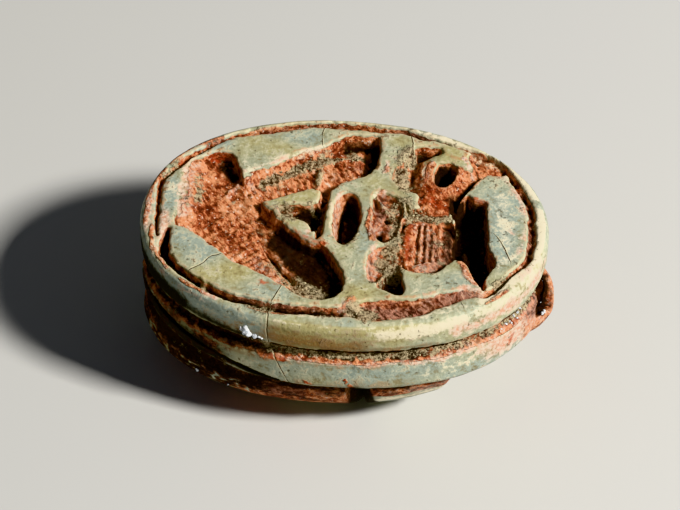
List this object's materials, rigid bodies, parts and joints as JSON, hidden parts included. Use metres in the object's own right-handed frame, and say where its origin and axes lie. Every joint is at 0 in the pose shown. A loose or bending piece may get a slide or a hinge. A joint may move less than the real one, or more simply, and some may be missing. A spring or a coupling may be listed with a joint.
{
  "type": "scarab amulet",
  "caption": "Oval beetle-shaped amulet lying on its domed back, with a deeply carved flat seal face, grooved sides and a lengthwise cord hole.",
  "frame": {"origin": "centre of the underside of the box around the amulet as it lies on its back", "axes": "+X towards the beetle's head, +Z out of the carved seal face"},
  "size_m": [0.0174, 0.0124, 0.007],
  "materials": {
    "glazed_steatite": "worn satin glaze with red-brown stain in the carving"
  },
  "bodies": {
    "root": {"scarab_amulet": "glazed_steatite"}
  },
  "joints": []
}
